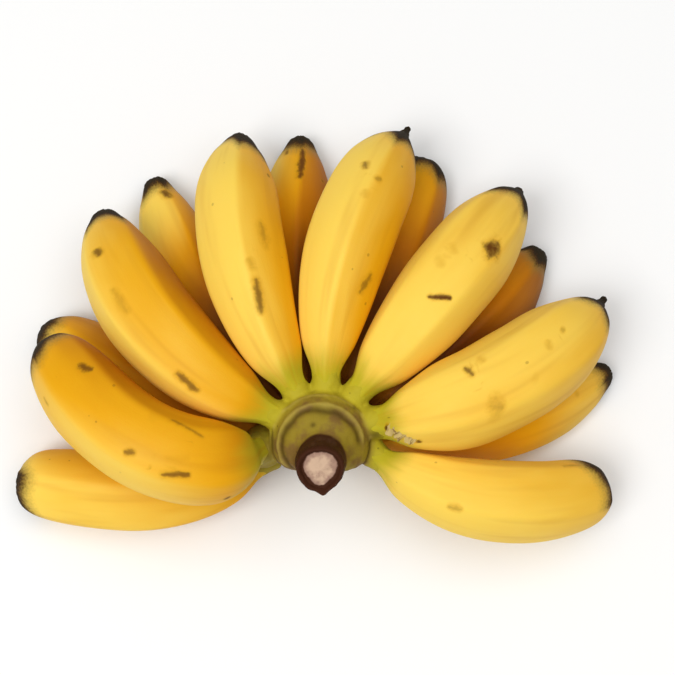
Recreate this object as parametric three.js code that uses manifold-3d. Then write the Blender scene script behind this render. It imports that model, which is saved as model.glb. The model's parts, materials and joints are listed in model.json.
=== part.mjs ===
// A hand of small dessert bananas, cut from the bunch and laid down with its domed side up.
// Fourteen bananas in two rows fan out from one crown round a short piece of the bunch stalk.
// Millimetres and degrees, +Z up. The front of the hand, where the stalk is bare, faces -Y.
import * as THREE from "three";
import { mergeVertices } from "three/addons/utils/BufferGeometryUtils.js";
import Module from "manifold-3d";

const wasm = await Module();
wasm.setup();

// Driving dimensions of a banana
const BANANA_SIDES = 15;
const BANANA_RINGS = 24;
const RIDGES = 5;
const RIDGE_SHARE = 0.03;

// Outlines of a banana's neck and of its end: share of its length, share of its half girth
const NECK_OUTLINES = {
  slim: [[0.0, 0.33], [0.085, 0.33], [0.19, 0.65], [0.37, 0.91], [0.58, 1.0]],
  stout: [[0.0, 0.33], [0.11, 0.36], [0.18, 0.74], [0.25, 0.93], [0.36, 0.99], [0.58, 1.0]],
  full: [[0.0, 0.33], [0.08, 0.36], [0.16, 0.64], [0.28, 0.9], [0.42, 0.98], [0.58, 1.0]],
};
const END_OUTLINES = {
  square: [[0.76, 0.98], [0.88, 0.9], [0.945, 0.75], [0.983, 0.5], [1.0, 0.2]],
  blunt: [[0.76, 0.97], [0.89, 0.8], [0.95, 0.59], [0.985, 0.35], [1.0, 0.15]],
  tapered: [[0.74, 0.93], [0.87, 0.68], [0.94, 0.46], [0.98, 0.33], [1.0, 0.19]],
  pointed: [[0.74, 0.92], [0.87, 0.64], [0.94, 0.36], [0.975, 0.19], [1.0, 0.11]],
};

// What all bananas share unless they have their own: the ring in the crown on which their centre lines
// start, and how much of the bend is near the neck
const COMMON = { seatRadius: 15, bendEase: 1.35, neckShape: "slim", endShape: "tapered" };

// Driving dimensions of the two rows: the girth is a diameter, the seat height is where the centre lines
// start, and a tilt is above the horizon at the neck and at the tip
const ROWS = {
  lower: { girth: 32, seatHeight: 25, neckTilt: -3, tipTilt: -13 },
  upper: { girth: 34, seatHeight: 43, neckTilt: 28, tipTilt: -34 },
};

// The two bananas at the left end sit farther out on the crown and bend sharply at the neck
const LEFT_LOWER = {
  row: "lower",
  seatRadius: 21,
  girth: 31,
  bendEase: 2.4,
  seatHeight: 21,
  neckTilt: 2,
  tipTilt: -8.4,
  endShape: "square",
};
const LEFT_UPPER = {
  row: "upper",
  seatRadius: 24,
  bendEase: 2.2,
  seatHeight: 31,
  neckTilt: 72,
  tipTilt: -22,
  neckShape: "stout",
  endShape: "blunt",
};

// The upper banana at the right end hangs lower on the crown than the rest of its row
const RIGHT_UPPER = {
  row: "upper",
  seatRadius: 17,
  girth: 31.5,
  seatHeight: 38,
  neckTilt: 18,
  endShape: "square",
};

// The thickest banana, next to it, fills out close to its neck
const STOUT_UPPER = { row: "upper", girth: 37.5, neckShape: "full", endShape: "pointed" };

// The bananas from the left end of the hand round to the right. All three angles are compass headings
// counted from +X towards +Y: seat is the place on the crown, neck and tip the ways they point
const BANANAS = [
  { ...LEFT_LOWER, seat: 190, neck: 218, tip: 171.5, length: 105 },
  { ...LEFT_UPPER, seat: 184, neck: 240, tip: 126, length: 118.5 },
  { row: "lower", seat: 167, neck: 170, tip: 144, length: 113, seatHeight: 25.5, endShape: "blunt" },
  { row: "upper", seat: 154, neck: 164, tip: 106.5, length: 126.5, girth: 35.5 },
  { row: "lower", seat: 136, neck: 140, tip: 106, length: 122.5, tipTilt: -12 },
  { row: "upper", seat: 122, neck: 125, tip: 87, length: 124 },
  { row: "lower", seat: 108, neck: 102, tip: 86, length: 119, tipTilt: -12.6 },
  { row: "upper", seat: 89, neck: 90, tip: 62, length: 125, endShape: "pointed" },
  { row: "lower", seat: 76, neck: 65, tip: 75, length: 114.5, girth: 29.5, endShape: "square" },
  { row: "upper", seat: 56, neck: 47.5, tip: 56, length: 121, girth: 34.8, endShape: "pointed" },
  { row: "lower", seat: 42, neck: 33, tip: 51, length: 108, tipTilt: -14.5 },
  { ...STOUT_UPPER, seat: 20.5, neck: 0, tip: 49.5, length: 118 },
  { row: "lower", seat: 7, neck: 0, tip: 30, length: 108, girth: 31, tipTilt: -16 },
  { ...RIGHT_UPPER, seat: -13, neck: -41, tip: 17.5, length: 102.5 },
];

// Driving dimensions of the crown, along the stalk from its cut foot to the cut end of the stub
const CROWN_SIDES = 36;
const STALK_FOOT = new THREE.Vector3(-1.5, 5, 5);
const STALK_LENGTH = 67;
const STALK_FOOT_TILT = 78;
const STALK_END_TILT = 66;
const STALK_FOOT_RADIUS = 12;
const STALK_END_RADIUS = 8.4;
const FAN_HALF_ANGLE = 98;
const FAN_FADE_ANGLE = 42;

// Outline of the crown on the fan's side: distance along the stalk, radius. The two steps near the top
// are the scars of fallen bracts
const CROWN_OUTLINE = [
  [0, 12],
  [7, 14.4],
  [15, 20.5],
  [24, 23],
  [35, 23.5],
  [41, 23],
  [42.5, 23.6],
  [44, 22.2],
  [45.5, 19.2],
  [47, 19.4],
  [48.2, 17.6],
  [50, 13.4],
  [53, 10.4],
  [57, 9.1],
  [66, 8.4],
  [67, 7.7],
];

const GAP = 0.3;
const FLOOR_SIZE = 400;
const BEND_STEPS = 200;

const YELLOW_PEEL = { color: 0xf2bd36, roughness: 0.5, metalness: 0 };
const OLIVE_CROWN = { color: 0x8a7a2c, roughness: 0.7, metalness: 0 };

// The unit vector of a compass heading and a tilt above the horizon
function direction(heading, tilt) {
  const compass = THREE.MathUtils.degToRad(heading);
  const rise = THREE.MathUtils.degToRad(tilt);
  return new THREE.Vector3(
    Math.cos(rise) * Math.cos(compass),
    Math.cos(rise) * Math.sin(compass),
    Math.sin(rise),
  );
}

// A centre line that turns from one heading and tilt to another, most of it near the start
function bentLine({ start, length, headings, tilts, ease }) {
  const way = (share) => {
    const turned = 1 - (1 - share) ** ease;
    return direction(
      THREE.MathUtils.lerp(headings[0], headings[1], turned),
      THREE.MathUtils.lerp(tilts[0], tilts[1], turned),
    );
  };
  const points = [start.clone()];
  for (let i = 0; i < BEND_STEPS; i++) {
    const step = way((i + 0.5) / BEND_STEPS).multiplyScalar(length / BEND_STEPS);
    points.push(points[i].clone().add(step));
  }
  return (share) => {
    const place = THREE.MathUtils.clamp(share, 0, 1) * BEND_STEPS;
    const before = Math.min(Math.floor(place), BEND_STEPS - 1);
    return {
      point: points[before].clone().lerp(points[before + 1], place - before),
      along: way(share),
    };
  };
}

// A turned shape whose axis is bent along a centre line. The profile's y is the distance along that
// line, and radiusAt changes a radius by its angle from the given upper side
function bentTurning({ profile, sides, line, length, upper, radiusAt }) {
  const geometry = new THREE.LatheGeometry(profile, sides);
  const position = geometry.attributes.position;
  for (let i = 0; i < position.count; i++) {
    const { y } = profile[i % profile.length];
    const radius = Math.hypot(position.getX(i), position.getZ(i));
    const angle = Math.atan2(position.getX(i), position.getZ(i));
    const { point, along } = line(y / length);
    const out = upper.clone().addScaledVector(along, -upper.dot(along)).normalize();
    const side = along.clone().cross(out);
    const reach = radius > 0 ? radiusAt(radius, angle, y) : 0;
    point.addScaledVector(out, reach * Math.cos(angle)).addScaledVector(side, reach * Math.sin(angle));
    position.setXYZ(i, point.x, point.y, point.z);
  }
  return geometry;
}

// A closed geometry as a solid that can be joined and cut
function solidOf(geometry) {
  geometry.deleteAttribute("normal");
  geometry.deleteAttribute("uv");
  const merged = mergeVertices(geometry, 1e-4);
  return new wasm.Manifold(
    new wasm.Mesh({
      numProp: 3,
      vertProperties: merged.attributes.position.array,
      triVerts: new Uint32Array(merged.index.array),
    }),
  );
}

// A solid as a named mesh
function meshOf(name, solid, look) {
  const { vertProperties, triVerts } = solid.getMesh();
  const geometry = new THREE.BufferGeometry()
    .setAttribute("position", new THREE.BufferAttribute(vertProperties, 3))
    .setIndex(new THREE.BufferAttribute(triVerts, 1));
  geometry.computeVertexNormals();
  const mesh = new THREE.Mesh(geometry, new THREE.MeshStandardMaterial(look));
  mesh.name = name;
  return mesh;
}

// One banana: a five-sided bent body with a thin neck and a small dry flower end
function bananaSolid(banana) {
  const plan = { ...COMMON, ...ROWS[banana.row], ...banana };
  const { girth, length } = plan;
  const outline = [...NECK_OUTLINES[plan.neckShape], ...END_OUTLINES[plan.endShape]];
  const corners = outline.map(([share, radius]) => new THREE.Vector2(share, radius));
  const rings = new THREE.SplineCurve(corners)
    .getPoints(BANANA_RINGS)
    .map((point) => new THREE.Vector2((point.y * girth) / 2, point.x * length));
  const geometry = bentTurning({
    profile: [new THREE.Vector2(0, 0), ...rings, new THREE.Vector2(0, length)],
    sides: BANANA_SIDES,
    line: bentLine({
      start: direction(plan.seat, 0).multiplyScalar(plan.seatRadius).setZ(plan.seatHeight),
      length,
      headings: [plan.neck, plan.tip],
      tilts: [plan.neckTilt, plan.tipTilt],
      ease: plan.bendEase,
    }),
    length,
    upper: new THREE.Vector3(0, 0, 1),
    radiusAt: (radius, angle) => radius * (1 + RIDGE_SHARE * Math.cos(RIDGES * angle)),
  });
  return solidOf(geometry);
}

// The crown: a cushion that swells out of the stalk on the fan's side only, and the stub of the stalk
function crownSolid(margin) {
  const bareRadius = (y) => THREE.MathUtils.lerp(STALK_FOOT_RADIUS, STALK_END_RADIUS, y / STALK_LENGTH);
  const fanShare = (angle) => {
    const past = THREE.MathUtils.radToDeg(Math.abs(angle)) - FAN_HALF_ANGLE;
    return 1 - THREE.MathUtils.smoothstep(past, 0, FAN_FADE_ANGLE);
  };
  const rings = CROWN_OUTLINE.map(([y, radius]) => new THREE.Vector2(radius, y));
  const geometry = bentTurning({
    profile: [new THREE.Vector2(0, 0), ...rings, new THREE.Vector2(0, STALK_LENGTH)],
    sides: CROWN_SIDES,
    line: bentLine({
      start: STALK_FOOT,
      length: STALK_LENGTH,
      headings: [-90, -90],
      tilts: [STALK_FOOT_TILT, STALK_END_TILT],
      ease: 1,
    }),
    length: STALK_LENGTH,
    upper: new THREE.Vector3(0, 1, 0),
    radiusAt: (radius, angle, y) => THREE.MathUtils.lerp(bareRadius(y), radius, fanShare(angle)) + margin,
  });
  return solidOf(geometry);
}

const hand = new THREE.Group();
hand.name = "banana_hand";

hand.add(meshOf("crown", crownSolid(0), OLIVE_CROWN));

// Each neck stops just short of the crown, and what would press into the surface is flattened by it
const seatCut = crownSolid(GAP);
const floorBlock = new THREE.BoxGeometry(FLOOR_SIZE, FLOOR_SIZE, FLOOR_SIZE);
const floor = solidOf(floorBlock.translate(0, 0, -FLOOR_SIZE / 2));
BANANAS.forEach((banana, index) => {
  const name = `banana_${String(index + 1).padStart(2, "0")}`;
  hand.add(meshOf(name, bananaSolid(banana).subtract(seatCut).subtract(floor), YELLOW_PEEL));
});

// The origin is under the middle of the hand, on the surface it lies on
const middle = new THREE.Box3().setFromObject(hand).getCenter(new THREE.Vector3());
hand.position.set(-middle.x, -middle.y, 0);

export default hand;
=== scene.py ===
"""A hand of small ripe bananas, lying with its domed side up on a pale floor.

Metres and degrees, in the frame's own axes: +Z is up, and the front of the hand faces -Y.
"""

import json
import math
from collections import namedtuple

import bmesh
import bpy
from bpy.props import FloatProperty, FloatVectorProperty, IntProperty, PointerProperty
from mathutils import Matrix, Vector, noise
from mathutils.bvhtree import BVHTree

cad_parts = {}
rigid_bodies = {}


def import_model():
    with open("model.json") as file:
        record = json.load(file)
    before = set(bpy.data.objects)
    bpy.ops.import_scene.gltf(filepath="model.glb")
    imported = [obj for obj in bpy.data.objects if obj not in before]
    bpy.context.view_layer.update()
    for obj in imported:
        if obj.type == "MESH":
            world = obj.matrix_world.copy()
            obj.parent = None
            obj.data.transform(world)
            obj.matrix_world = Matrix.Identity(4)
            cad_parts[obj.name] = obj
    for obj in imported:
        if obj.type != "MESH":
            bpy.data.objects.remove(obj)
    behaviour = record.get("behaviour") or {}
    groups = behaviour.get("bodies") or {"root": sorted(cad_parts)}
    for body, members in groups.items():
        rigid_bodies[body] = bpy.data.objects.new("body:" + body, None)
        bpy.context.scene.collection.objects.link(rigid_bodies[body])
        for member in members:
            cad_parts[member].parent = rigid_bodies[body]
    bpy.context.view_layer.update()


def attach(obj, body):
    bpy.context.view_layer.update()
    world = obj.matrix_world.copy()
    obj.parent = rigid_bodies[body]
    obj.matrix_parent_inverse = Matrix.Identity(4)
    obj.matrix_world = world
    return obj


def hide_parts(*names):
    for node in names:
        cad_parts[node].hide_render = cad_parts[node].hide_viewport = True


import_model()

bl_info = {
    "name": "Hand of Bananas",
    "version": (1, 0, 0),
    "blender": (4, 5, 0),
    "location": "3D View > Sidebar > Bananas",
    "description": "Dresses a hand of small ripe bananas with peel, dry tips, a crown and a cut stalk",
    "category": "Object",
}

BODY = "root"
UP = Vector((0.0, 0.0, 1.0))
FAN_WAY = Vector((0.0, 1.0, 0.0))

# The middle of the ring of necks, on the floor
HAND_MIDDLE = Vector((0.0029014, -0.0465982, 0.0))

# The view: a long lens that looks steeply down over the front of the hand
PICTURE_SIDE = 675
SENSOR = 0.036
LENS = 0.0847
VIEW_TILT = 78.0
VIEW_DISTANCE = 0.615
VIEW_TARGET = HAND_MIDDLE + Vector((0.0048, 0.0395, 0.04))

# Outlines of a banana's neck and of its end: share of its length, share of its half girth
NECK_OUTLINES = {
    "slim": ((0.0, 0.33), (0.085, 0.33), (0.19, 0.65), (0.37, 0.91), (0.58, 1.0)),
    "stout": ((0.0, 0.33), (0.11, 0.36), (0.18, 0.74), (0.25, 0.93), (0.36, 0.99), (0.58, 1.0)),
    "full": ((0.0, 0.33), (0.08, 0.36), (0.16, 0.64), (0.28, 0.9), (0.42, 0.98), (0.58, 1.0)),
}
END_OUTLINES = {
    "square": ((0.76, 0.98), (0.88, 0.9), (0.945, 0.75), (0.983, 0.5), (1.0, 0.2)),
    "blunt": ((0.76, 0.97), (0.89, 0.8), (0.95, 0.59), (0.985, 0.35), (1.0, 0.15)),
    "tapered": ((0.74, 0.93), (0.87, 0.68), (0.94, 0.46), (0.98, 0.33), (1.0, 0.19)),
    "pointed": ((0.74, 0.92), (0.87, 0.64), (0.94, 0.36), (0.975, 0.19), (1.0, 0.11)),
}

# The way that the shaded flanks of all the bananas face, away from the key light; the tone deepens there as
# painted shade
SHADED_FLANK = Vector((0.95, 0.25, -0.1))

# Steps in which a centre line bends
BEND_STEPS = 200

# How far the ridges turn from neck to tip, in degrees; how many soft dents, dry wrinkles and waves of a cap's
# edge go to a metre; and how far a cap's edge waves
RIDGE_TWIST = 14
DENT_GRAIN = 45
WRINKLE_GRAIN = 420
CAP_EDGE_GRAIN = 110
CAP_EDGE_WAVE = 0.003

# Shares of a banana's length: where the dry flower end starts, how far a neck is usually green, where the
# ridges start and end to flatten towards the tip, and where the painted root shade sets in and is full
FLOWER_START = 0.975
GREEN_REACH = 0.2
RIDGE_FADE = (0.75, 0.95)
ROOT_SHADE_FADE = (0.85, 0.3)

# How far the peel's pattern moves on from one banana to the next
PATTERN_STEP = 0.4

# What all bananas share unless they have their own. A bend's ease is how much of it is near the neck; a roll
# turns the ridges round the banana; a nub is the dry flower end, past the peel; a cap is how far the peel is
# dry below it, and leans by so much towards one side; a tone runs from pale at 0 through amber at 1 to deep
# amber at 2; the flank and the collar are shares of the usual: how much deeper the tone is, as painted shade,
# on the flank that faces away from the key light, and how much the crown swells round the neck; green is how
# far the neck is green, from 0 for not at all
COMMON = dict(
    seat_radius=0.015, bend_ease=1.35, neck_shape="slim", end_shape="tapered",
    roll=0, nub=0.001, cap=0.007, cap_lean=0.0, cap_side=90, tone=0.2, flank=1.0, collar=1.0, green=1.0,
)

# What the bananas of a row share. A tilt is above the horizon, at the neck and at the tip; the root shade is
# how much deeper the tone gets towards the neck: painted shade low between the bananas, and below 0 a paler
# painted light
ROWS = {
    "lower": dict(girth=0.032, seat_height=0.025, neck_tilt=-3, tip_tilt=-13, root_shade=1.6, green=0.0),
    "upper": dict(girth=0.034, seat_height=0.043, neck_tilt=28, tip_tilt=-34, root_shade=0.0),
}

# The bananas from the left end of the hand round to the right. Seat, neck and tip are compass headings from
# +X towards +Y: the place on the crown, and the ways that the neck and the tip point
BANANAS = {
    "banana_01": dict(
        row="lower", seat=190, neck=218, tip=171.5, length=0.105, girth=0.031, seat_radius=0.021,
        seat_height=0.021, neck_tilt=2, tip_tilt=-8.4, bend_ease=2.4, end_shape="square",
        nub=0.0004, cap=0.004, cap_lean=0.004, cap_side=-90, tone=0.75, root_shade=0.0, collar=0.6, green=0.7,
    ),
    "banana_02": dict(
        row="upper", seat=184, neck=240, tip=126, length=0.1185, seat_radius=0.024, seat_height=0.031,
        neck_tilt=72, tip_tilt=-22, bend_ease=2.2, neck_shape="stout", end_shape="blunt",
        roll=36, cap=0.0085, cap_lean=0.004, cap_side=-90, tone=1.5, root_shade=-0.8, collar=2.5, green=1.35,
    ),
    "banana_03": dict(
        row="lower", seat=167, neck=170, tip=144, length=0.113, seat_height=0.0255, end_shape="blunt",
        roll=12, tone=1.1, root_shade=1.0,
    ),
    "banana_04": dict(
        row="upper", seat=154, neck=164, tip=106.5, length=0.1265, girth=0.0355,
        roll=30, cap=0.0125, tone=0.85,
    ),
    "banana_05": dict(
        row="lower", seat=136, neck=140, tip=106, length=0.1225, tip_tilt=-12,
        roll=20, tone=0.45, root_shade=2.3,
    ),
    "banana_06": dict(row="upper", seat=122, neck=125, tip=87, length=0.124, cap=0.012, cap_lean=0.004),
    "banana_07": dict(
        row="lower", seat=108, neck=102, tip=86, length=0.119, tip_tilt=-12.6, roll=2, tone=1.1,
    ),
    "banana_08": dict(
        row="upper", seat=89, neck=90, tip=62, length=0.125, end_shape="pointed",
        roll=2, nub=0.004, cap=0.015, cap_lean=0.002, tone=0.05, root_shade=0.5,
    ),
    "banana_09": dict(
        row="lower", seat=76, neck=65, tip=75, length=0.1145, girth=0.0295, end_shape="square",
        roll=30, cap=0.0095, cap_lean=0.001, tone=1.2,
    ),
    "banana_10": dict(
        row="upper", seat=56, neck=47.5, tip=56, length=0.121, girth=0.0348, end_shape="pointed",
        roll=32, cap=0.0165, cap_lean=0.001, tone=0.22, flank=0.2,
    ),
    "banana_11": dict(
        row="lower", seat=42, neck=33, tip=51, length=0.108, tip_tilt=-14.5, roll=14, cap=0.009, tone=1.6,
    ),
    "banana_12": dict(
        row="upper", seat=20.5, neck=0, tip=49.5, length=0.118, girth=0.0375, neck_shape="full",
        end_shape="pointed", roll=38, nub=0.004, cap=0.013, tone=0.25, flank=0.4,
    ),
    "banana_13": dict(
        row="lower", seat=7, neck=0, tip=30, length=0.108, girth=0.031, tip_tilt=-16,
        roll=24, cap=0.008, tone=0.3, root_shade=1.5, flank=0.35,
    ),
    "banana_14": dict(
        row="upper", seat=-13, neck=-41, tip=17.5, length=0.1025, girth=0.0315, seat_radius=0.017,
        seat_height=0.038, neck_tilt=18, end_shape="square",
        roll=30, cap=0.0085, cap_lean=0.007, cap_side=-90, flank=0.5,
    ),
}

# When a point takes a mark's brown, first not at all and then fully: how much nearer it is to that mark than
# to the next one, and how far outside the mark it lies
MARKS_APART = (0.0012, 0.0036)
MARK_FADE = (0.0035, 0.002)

# Bruises and scratches on the peel, each from one pixel of the picture to another, with its half width in
# metres and how brown it is; the mark on banana_13 and the one along the top edge of banana_14 are painted
# shade
Mark = namedtuple("Mark", "start end half_width brown")
MARKS = {
    "banana_02": (
        Mark((80, 365), (90, 370), 0.0020, 0.85),
        Mark((160, 414), (203, 437), 0.0010, 0.6),
        Mark((152, 414), (158, 417), 0.0022, 0.25),
        Mark((125, 452), (134, 453), 0.0014, 0.7),
        Mark((162, 475), (188, 474), 0.0017, 0.8),
        Mark((168, 459), (188, 459), 0.0014, 0.2),
        Mark((226, 499), (229, 497), 0.0016, 0.9),
        Mark((44, 398), (48, 405), 0.0010, 0.5),
    ),
    "banana_04": (
        Mark((177, 374), (197, 390), 0.0018, 0.75),
        Mark((97, 250), (99, 255), 0.0024, 0.8),
        Mark((113, 290), (127, 312), 0.0018, 0.4),
    ),
    "banana_05": (
        Mark((163, 191), (169, 197), 0.0020, 0.9),
        Mark((142, 201), (141, 206), 0.0010, 0.5),
    ),
    "banana_06": (
        Mark((268, 175), (269, 176), 0.0013, 0.7),
        Mark((261, 223), (266, 246), 0.0021, 0.5),
        Mark((249, 259), (252, 265), 0.0018, 0.4),
        Mark((256, 279), (261, 312), 0.0019, 0.75),
    ),
    "banana_07": (
        Mark((303, 150), (300, 177), 0.0017, 0.95),
        Mark((287, 151), (287, 154), 0.0012, 0.7),
        Mark((322, 180), (323, 182), 0.0012, 0.6),
    ),
    "banana_08": (
        Mark((365, 162), (366, 168), 0.0015, 0.7),
        Mark((376, 178), (381, 179), 0.0015, 0.55),
        Mark((365, 190), (366, 196), 0.0016, 0.3),
        Mark((371, 275), (360, 292), 0.0018, 0.65),
    ),
    "banana_10": (
        Mark((486, 246), (498, 249), 0.0045, 1.0),
        Mark((478, 238), (483, 240), 0.0016, 0.45),
        Mark((429, 297), (450, 298), 0.0011, 1.0),
        Mark((438, 258), (443, 265), 0.0018, 0.25),
        Mark((452, 244), (455, 252), 0.0017, 0.28),
    ),
    "banana_12": (
        Mark((386, 427), (388, 428), 0.0014, 1.0),
        Mark((418, 441), (420, 442), 0.0014, 1.0),
        Mark((465, 368), (473, 375), 0.0014, 0.8),
        Mark((479, 358), (483, 361), 0.0018, 0.4),
        Mark((491, 406), (502, 407), 0.0044, 0.5),
        Mark((562, 329), (564, 330), 0.0014, 0.45),
        Mark((549, 341), (549, 348), 0.0013, 0.35),
        Mark((534, 378), (537, 379), 0.0018, 0.15),
    ),
    # Painted shade next to the edge of banana_12
    "banana_13": (Mark((576, 393), (578, 395), 0.0012, 0.3),),
    "banana_14": (
        Mark((449, 507), (461, 510), 0.0014, 0.5),
        # Painted shade along the top edge
        Mark((564, 466), (578, 465), 0.0011, 0.5),
    ),
}

# Outline of the crown: distance along the stalk, radius
CROWN_OUTLINE = (
    (0.0, 0.012),
    (0.007, 0.0135),
    (0.015, 0.0172),
    (0.024, 0.0192),
    (0.034, 0.0193),
    (0.04, 0.0186),
    (0.0435, 0.0173),
    (0.0462, 0.0157),
    (0.0482, 0.0134),
    (0.0502, 0.0114),
    (0.0522, 0.0102),
    (0.054, 0.0096),
    (0.058, 0.0092),
    (0.066, 0.0086),
)

# The stalk from its cut foot to its cut end, with its tilt at both, and where its bark starts along it
STALK_FOOT = HAND_MIDDLE + Vector((-0.0015, 0.005, 0.005))
STALK_LENGTH = 0.067
STALK_TILTS = (78, 66)
STALK_FOOT_RADIUS = 0.012
STALK_END_RADIUS = 0.0086
BARK_START = 0.0535
BARK_FADE = 0.0015

# The cushion is whole this far to each side of the fan's middle, and fades to the bare stalk beyond
FAN_HALF_ANGLE = 98
FAN_FADE_ANGLE = 42

# How much farther the crown reaches at the middle of the fan than at its sides, which fades below the bark
CROWN_LEAN = 0.0045
LEAN_FADE = 0.005

# The collar round a neck: the share of the banana's length that it covers, and how far its end lies under
# the peel
COLLAR_SHARE = 0.12
COLLAR_SUNK = 0.0007

# Sides of the stalk and its cuts and of a collar, and how often the joined crown is smoothed
STALK_SIDES = 72
COLLAR_SIDES = 40
SMOOTHINGS = 5

# The crown's skin: grains to a metre and their height, coarse and fine
COARSE_GRAIN, COARSE_HEIGHT = 160, 0.0003
FINE_GRAIN, FINE_HEIGHT = 420, 0.00022

# Where olive turns to the green of the necks: distance from the stalk's middle, how much more that is on the
# fan's right, and the width of the change
NECK_START = 0.0162
NECK_START_RIGHT = 0.0018
NECK_FADE = 0.0033

# The scars of fallen bracts round the crown: distance along the stalk, radius, height, share of the usual
# groove inside it, and the angles from the middle of the fan between which it shows, counted towards -X; the
# last is no bract scar but a painted highlight, a pale rim over a low crest where the necks start
Scar = namedtuple("Scar", "along radius height grooved first last")
BRACT_SCARS = (
    Scar(0.0464, 0.0155, 0.0003, 1.0, -72, 118),
    Scar(0.0385, 0.0192, 0.0004, 1.0, -125, -58),
    Scar(0.0385, 0.0189, 0.0004, 1.0, 62, 125),
    # Painted highlight: a pale rim where the necks start
    Scar(0.0420, 0.0180, 0.0002, 0.0, -75, 68),
)

# A scar's crest and the ditch inside it: half widths, distance between them, depth of the ditch, and the
# angle over which both fade out at the scar's ends
CREST_WIDTH = 0.0008
DITCH_WIDTH = 0.0014
DITCH_INSET = 0.0024
DITCH_DEPTH = 0.0004
SCAR_FADE_ANGLE = 8

# Dark spots on the crown, the last and largest a painted shadow between the crown's right lobe and the necks
# of banana_12 and banana_14: pixel of the picture, radius
CROWN_SPOTS_AND_SHADOW = (((313, 425), 0.001), ((354, 408), 0.001), ((376, 435), 0.003))

# Outline of a cut, from its unseen side over the curled rim to its face: share of its radius, height
CUT_OUTLINE = (
    (1.0, -0.004), (1.02, -0.0012), (0.99, 0.0002), (0.93, 0.0007), (0.86, 0.0004), (0.8, -0.0003),
    (0.74, -0.0006), (0.4, -0.0002),
)

# Edge of the pith on a cut: angle from the fan's side, share of the cut's radius
PITH_EDGE = ((0, 0.74), (24, 0.78), (52, 0.76), (90, 0.68), (135, 0.6), (180, 0.72))

# A knob of bark on the rim of the stalk's cut end: across it, up it, size
CUT_KNOB = (-0.001, -0.0083, 0.0016)

# How much more a scrap lies level than along what carries it, and its thickness and curl as shares of its
# half width
SCRAP_LEVEL = 1.5
SCRAP_THICKNESS = 0.16
SCRAP_CURL = 0.25

# Scraps of dry bract caught between two necks: pixel of the picture, half length, half width, turn
Scrap = namedtuple("Scrap", "pixel half_length half_width turn")
SCRAPS = (
    Scrap((391, 429), 0.0029, 0.0014, 20),
    Scrap((397, 432), 0.0025, 0.0013, 75),
    Scrap((402, 434), 0.0033, 0.0014, -15),
    Scrap((408, 437), 0.0027, 0.0013, 40),
    Scrap((413, 439), 0.0024, 0.0011, 5),
)

# How much of the light a plant's skin throws straight back
PLANT_SPECULAR = 0.12

# The stage: the floor's half side and its faint patches, and each light's place and size
FLOOR_HALF_SIDE = 3.0
FLOOR_PATCH = (0.7, 0.7, 0.7)
KEY_PLACE, KEY_SIZE = Vector((-0.76, -0.7, 1.9)), 0.9
FILL_PLACE, FILL_SIZE = Vector((0.1, 0.0, 2.0)), 1.8


def screen_colour(red, green, blue):
    """A colour given in screen values from 0 to 255, as the linear light that materials take."""
    shares = (value / 255 for value in (red, green, blue))
    return tuple(s / 12.92 if s <= 0.04045 else ((s + 0.055) / 1.055) ** 2.4 for s in shares)


def colour_property(name, description, red, green, blue):
    """A colour that a user can change."""
    return FloatVectorProperty(
        name=name, description=description, subtype="COLOR", size=3, min=0.0, max=1.0,
        default=screen_colour(red, green, blue),
    )


def length_property(name, description, metres):
    """A length that a user can change."""
    return FloatProperty(
        name=name, description=description, default=metres, min=0.0, unit="LENGTH", precision=5,
    )


class BananaLooks(bpy.types.PropertyGroup):
    """Sizes and colours of the bananas."""

    sides: IntProperty(name="Sides", description="Faces round a banana", default=60, min=20, max=120)
    rings: IntProperty(
        name="Rings", description="Rings between two points of the outline", default=12, min=4, max=24,
    )
    ridge: FloatProperty(
        name="Ridges", description="Height of the five ridges, as a share of the radius",
        default=0.1, min=0.0, max=0.2, subtype="FACTOR",
    )
    # Painted shade: how much deeper the tone gets on the flank that faces away from the key light
    flank: FloatProperty(
        name="Shaded Flank", description="How much deeper the tone is on one flank of a banana",
        default=1.1, min=0.0, max=2.0,
    )
    dents: length_property("Dents", "Depth of the peel's soft dents", 0.0005)
    ripe: colour_property("Ripe", "Bright yellow of the peel", 252, 212, 88)
    amber: colour_property("Amber", "Deeper yellow of the riper peel", 234, 168, 14)
    # Deep amber is the peel's own riper tone and streaks, and also painted shade on shaded flanks and low in
    # the hand
    deep: colour_property("Deep amber", "Dark yellow, low in the hand", 194, 120, 2)
    # Painted shade: the red brown of the dark gaps between the lowest necks, also on the crown under the
    # upper row
    root: colour_property("Root", "Red brown of the lowest necks", 116, 56, 6)
    neck: colour_property("Neck", "Green yellow of the neck", 192, 178, 38)
    end: colour_property("End", "Olive grey next to the dry tip", 140, 116, 48)
    faint: colour_property("Faint mark", "Ochre of the fainter marks", 206, 146, 12)
    bruise: colour_property("Bruise", "Brown of dark marks and specks", 100, 58, 8)
    dry: colour_property("Dry tip", "Dark brown of the dry flower end", 50, 40, 24)


class CrownLooks(bpy.types.PropertyGroup):
    """Sizes and colours of the crown and the stalk."""

    grain: length_property("Grain", "Size of the crown's finest form", 0.0006)
    collar: length_property("Collar", "How far the crown swells round each neck", 0.0013)
    olive: colour_property("Olive", "Olive green of the crown", 149, 128, 38)
    shade: colour_property("Shade", "Brown green of the crown's dull patches", 126, 97, 46)
    # Also the colour of the painted highlight rim where the necks start
    scar: colour_property("Scar", "Pale edge of the bract scars", 184, 164, 78)
    groove: colour_property("Groove", "Dark line under a bract scar", 72, 54, 12)
    bark: colour_property("Bark", "Dark red brown skin of the stalk", 64, 32, 15)
    pith: colour_property("Pith", "Pink beige of the cut stalk", 206, 174, 146)
    # Also the painted shade towards the rim of a cut
    pith_dark: colour_property("Dark pith", "Mauve brown of the cut's older patches", 164, 130, 112)
    scrap: colour_property("Scrap", "Pale tan of the dry bract scraps", 198, 172, 106)


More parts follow.
